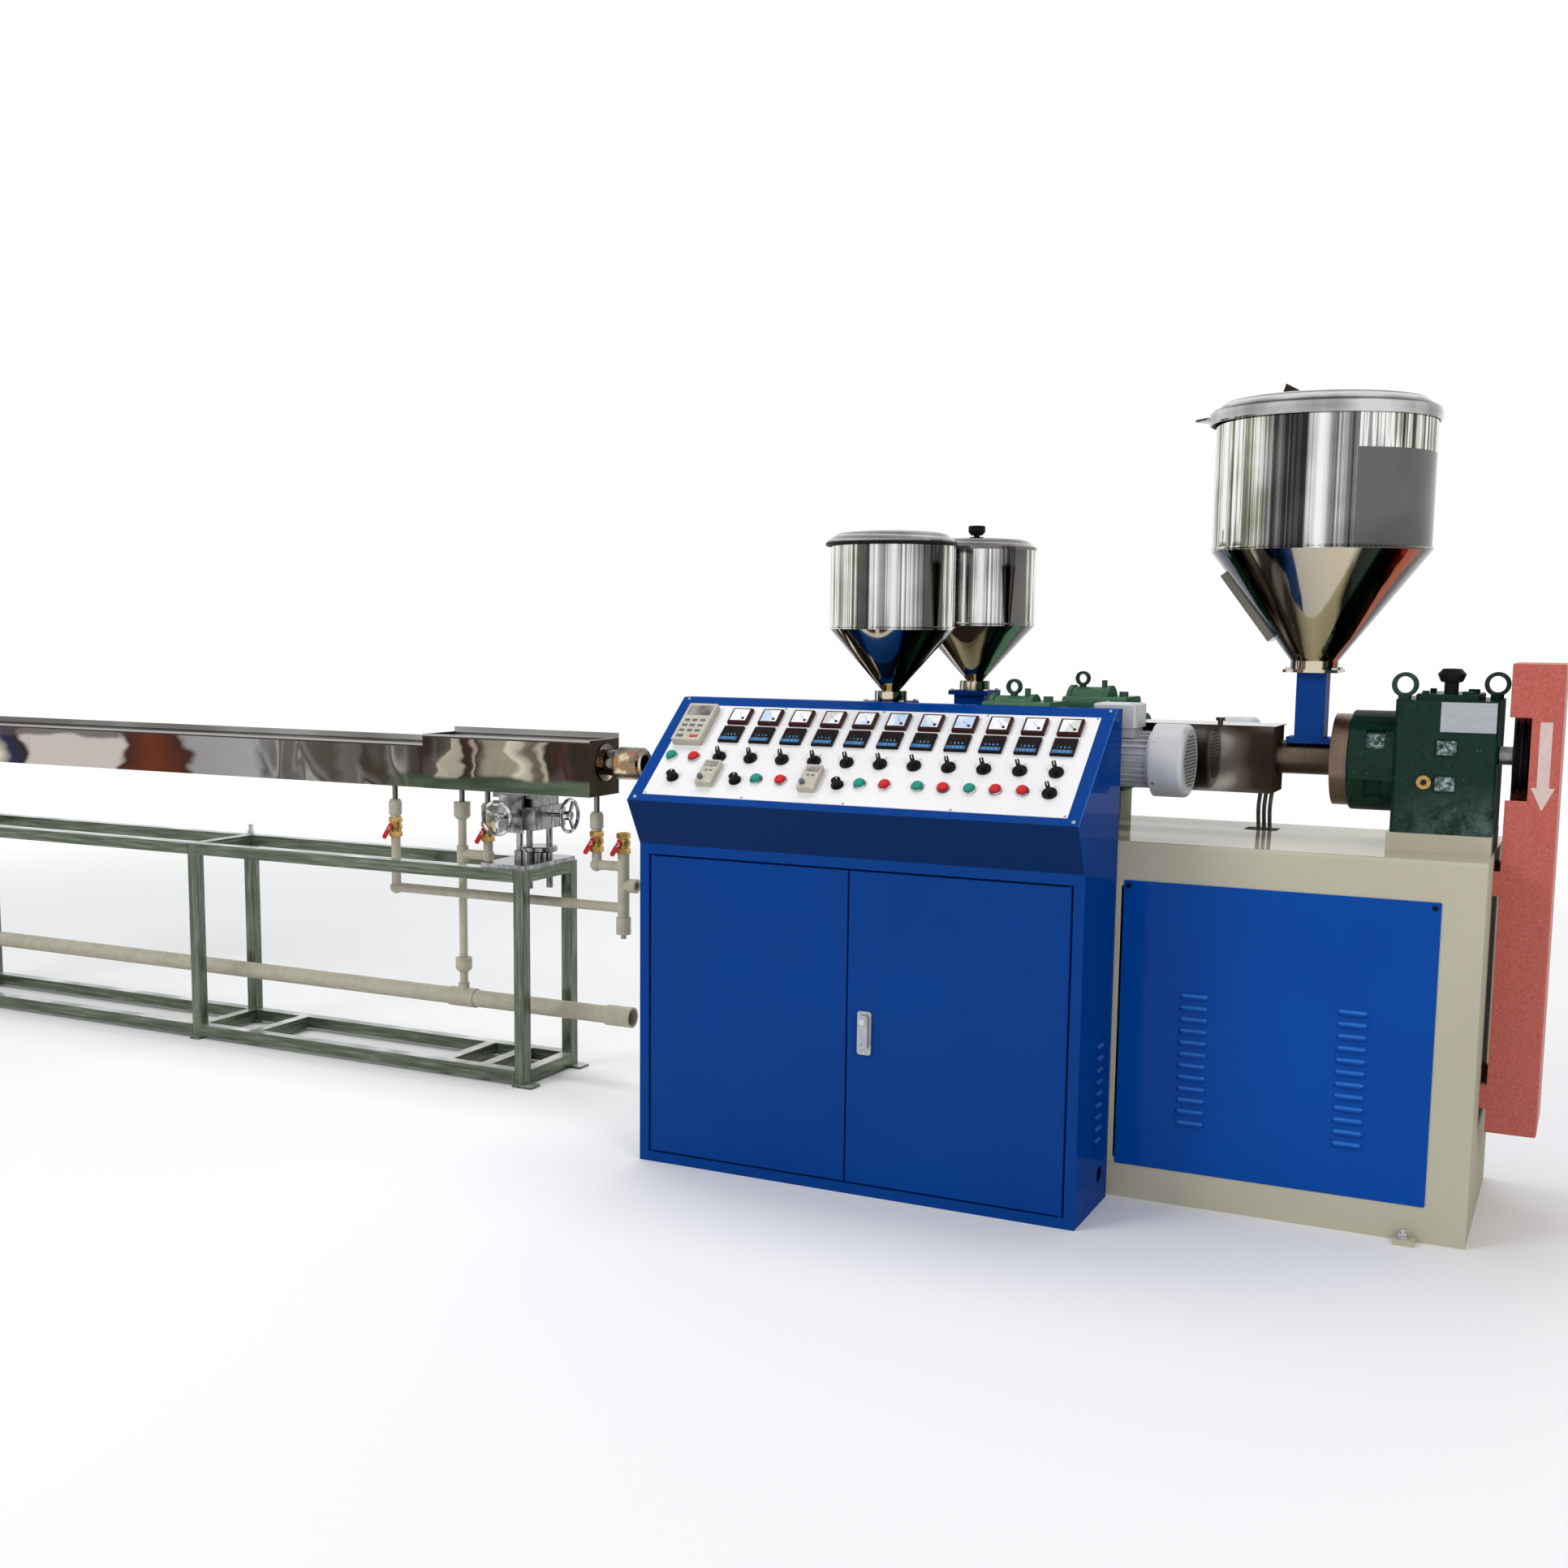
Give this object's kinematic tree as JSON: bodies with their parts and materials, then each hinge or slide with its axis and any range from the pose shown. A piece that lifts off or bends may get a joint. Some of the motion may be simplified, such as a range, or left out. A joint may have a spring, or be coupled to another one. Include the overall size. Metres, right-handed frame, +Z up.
{
  "type": "plastic extruder line",
  "caption": "Floor-standing plastic extrusion line: control desk, screw extruder with hopper and gearbox, side extruders, and an open water cooling trough on a tube stand.",
  "frame": {"origin": "centre of the line's footprint on the floor", "axes": "+X along the line from the trough to the belt guard, +Y from the cabinet doors to the back, +Z up"},
  "size_m": [5.906, 1.1229, 2.128],
  "materials": {
    "cabinet_blue": "satin paint",
    "panel_white": "smooth white",
    "meter_case": "white dial in a dark frame",
    "controller_case": "black",
    "knob_black": "black",
    "button_green": "green",
    "button_red": "red",
    "drive_case": "beige",
    "handle_grey": "satin",
    "base_cream": "gloss cream paint",
    "panel_blue": "satin blue paint",
    "gear_green": "gloss green paint",
    "black_trim": "black",
    "brass": "cast brass",
    "bare_steel": "turned steel",
    "throat_blue": "blue paint",
    "stainless": "mirror polished stainless",
    "conduit_steel": "flexible metal conduit",
    "guard_red": "hammered red paint",
    "motor_aluminium": "cast aluminium",
    "stand_stainless": "polished square tube",
    "adjuster_steel": "ground and plated steel",
    "wheel_chrome": "chrome",
    "pipe_beige": "beige plastic pipe",
    "lever_red": "red coated lever"
  },
  "bodies": {
    "line": {"cabinet_sides": "cabinet_blue", "cabinet_floor": "cabinet_blue", "cabinet_back": "cabinet_blue", "door_frame": "cabinet_blue", "console_shell": "cabinet_blue", "control_panel": "panel_white", "panel_meters": "meter_case", "temperature_controllers": "controller_case", "rotary_knobs": "knob_black", "lid_knob": "knob_black", "start_buttons": "button_green", "stop_buttons": "button_red", "drive_units": "drive_case", "base_end_frames": "base_cream", "base_rails": "base_cream", "base_top_plate": "base_cream", "base_panels": "panel_blue", "gearbox_case": "gear_green", "gearbox_lid": "gear_green", "bearing_housing": "gear_green", "lifting_eyes": "gear_green", "side_reducers": "gear_green", "breather_cap": "black_trim", "oil_plug": "brass", "valve_bodies": "brass", "screw_barrels": "bare_steel", "die_head": "bare_steel", "feed_throats": "throat_blue", "main_hopper": "stainless", "main_hopper_cone": "stainless", "main_hopper_lid": "stainless", "side_hoppers": "stainless", "side_hopper_cones": "stainless", "side_hopper_lids": "stainless", "heater_covers": "stainless", "trough_channel": "stainless", "trough_head_box": "stainless", "inlet_hood": "stainless", "heater_conduits": "conduit_steel", "belt_guard": "guard_red", "side_motors": "motor_aluminium", "side_fan_cowls": "motor_aluminium", "stand_posts": "stand_stainless", "stand_rails": "stand_stainless", "stand_cross_members": "stand_stainless", "adjuster_plate": "adjuster_steel", "slide_block": "adjuster_steel", "drain_pipes": "pipe_beige", "supply_pipes": "pipe_beige"},
    "left_door": {"left_door": "cabinet_blue"},
    "right_door": {"right_door": "cabinet_blue", "door_handle": "handle_grey"},
    "front_handwheel": {"front_handwheel": "wheel_chrome"},
    "end_handwheel": {"end_handwheel": "wheel_chrome"},
    "valve_lever_a": {"valve_lever_a": "lever_red"},
    "valve_lever_c": {"valve_lever_c": "lever_red"},
    "valve_lever_d": {"valve_lever_d": "lever_red"},
    "valve_lever_r": {"valve_lever_r": "lever_red"},
    "drive_pulley": {"drive_pulley": "black_trim"}
  },
  "joints": [
    {"name": "left_door_hinge", "type": "hinge", "parent": "line", "child": "left_door", "pos_m": [0.725, -0.4835, 0.45], "axis": [0, 0, -1], "range_deg": [0, 110]},
    {"name": "right_door_hinge", "type": "hinge", "parent": "line", "child": "right_door", "pos_m": [1.899, -0.4835, 0.45], "axis": [0, 0, 1], "range_deg": [0, 110]},
    {"name": "front_handwheel_turn", "type": "hinge", "parent": "line", "child": "front_handwheel", "pos_m": [-0.105, -0.0285, 0.877], "axis": [0, -1, 0], "continuous": true},
    {"name": "end_handwheel_turn", "type": "hinge", "parent": "line", "child": "end_handwheel", "pos_m": [0.055, 0.1515, 0.877], "axis": [1, 0, 0], "continuous": true},
    {"name": "drive_pulley_turn", "type": "hinge", "parent": "line", "child": "drive_pulley", "pos_m": [2.861, 0.1515, 1.186], "axis": [1, 0, 0], "continuous": true},
    {"name": "valve_lever_a_turn", "type": "hinge", "parent": "line", "child": "valve_lever_a", "pos_m": [-0.648, 0.1165, 0.8], "axis": [0, -1, 0], "range_deg": [0, 90]},
    {"name": "valve_lever_c_turn", "type": "hinge", "parent": "line", "child": "valve_lever_c", "pos_m": [-0.296, 0.1605, 0.8], "axis": [0, -1, 0], "range_deg": [0, 90]},
    {"name": "valve_lever_d_turn", "type": "hinge", "parent": "line", "child": "valve_lever_d", "pos_m": [0.158, 0.1165, 0.8], "axis": [0, -1, 0], "range_deg": [0, 90]},
    {"name": "valve_lever_r_turn", "type": "hinge", "parent": "line", "child": "valve_lever_r", "pos_m": [0.258, 0.1165, 0.8], "axis": [0, -1, 0], "range_deg": [0, 90]}
  ]
}
